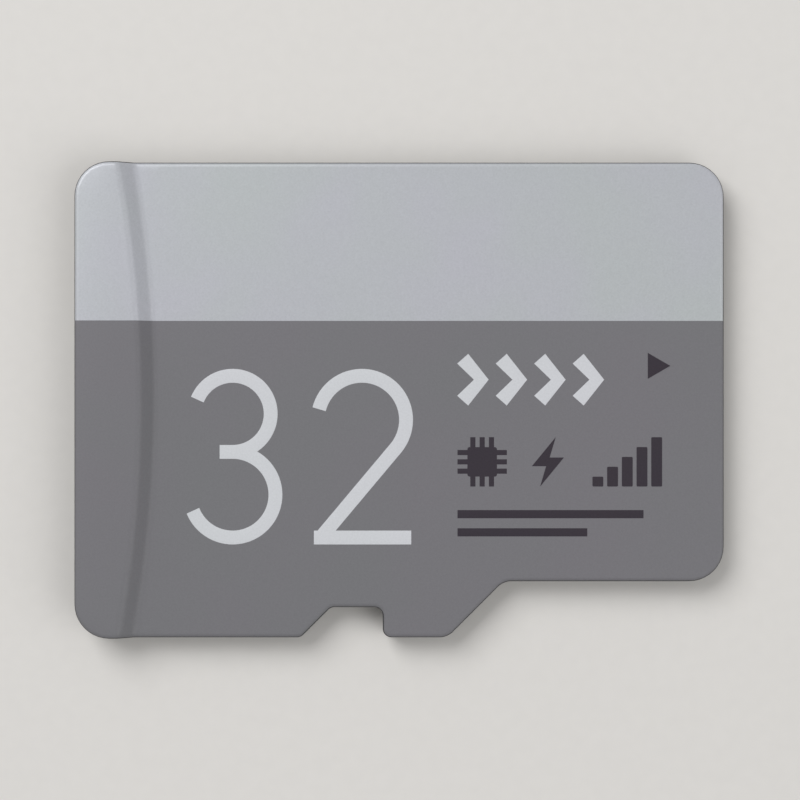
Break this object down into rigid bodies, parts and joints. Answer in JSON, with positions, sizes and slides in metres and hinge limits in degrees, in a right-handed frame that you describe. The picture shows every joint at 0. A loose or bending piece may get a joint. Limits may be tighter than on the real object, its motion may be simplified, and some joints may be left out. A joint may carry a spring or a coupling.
{
  "type": "microsd card",
  "caption": "Flat memory card with a notched, stepped edge, a raised grip lip across the rear and a row of gold contacts underneath, made to slide into a card slot.",
  "frame": {"origin": "middle of the card's footprint, on the contact face that it rests on", "axes": "+X the way the card is pushed into its slot, +Y towards the straight long edge, +Z out of the label face"},
  "size_m": [0.015, 0.011, 0.001],
  "materials": {
    "moulding": "fine matte moulding compound",
    "board": "satin solder mask over laminate",
    "contact_gold": "satin gold plating",
    "silicon": "polished silicon",
    "die_film": "amber adhesive film",
    "bond_gold": "drawn gold wire",
    "capacitor_ceramic": "fired ceramic with tinned ends",
    "resistor_ceramic": "glazed ceramic with tinned ends",
    "label_silver": "satin silver ink",
    "label_grey": "satin grey ink",
    "label_mark": "pale printed marks",
    "label_dark": "dark printed mark"
  },
  "bodies": {
    "root": {"moulded_body": "moulding", "circuit_board": "board", "resistor_1": "resistor_ceramic", "contact_1": "contact_gold", "contact_2": "contact_gold", "contact_3": "contact_gold", "contact_4": "contact_gold", "contact_5": "contact_gold", "contact_6": "contact_gold", "contact_7": "contact_gold", "contact_8": "contact_gold", "rear_bond_fingers": "contact_gold", "front_bond_fingers": "contact_gold", "chip_lands": "contact_gold", "flash_die_lower": "silicon", "flash_die_upper": "silicon", "controller_die": "silicon", "capacitor_1": "capacitor_ceramic", "capacitor_2": "capacitor_ceramic", "capacitor_3": "capacitor_ceramic", "die_film_lower": "die_film", "die_film_upper": "die_film", "die_film_controller": "die_film", "upper_die_wires": "bond_gold", "lower_die_wires": "bond_gold", "controller_wires": "bond_gold"}
  },
  "joints": []
}
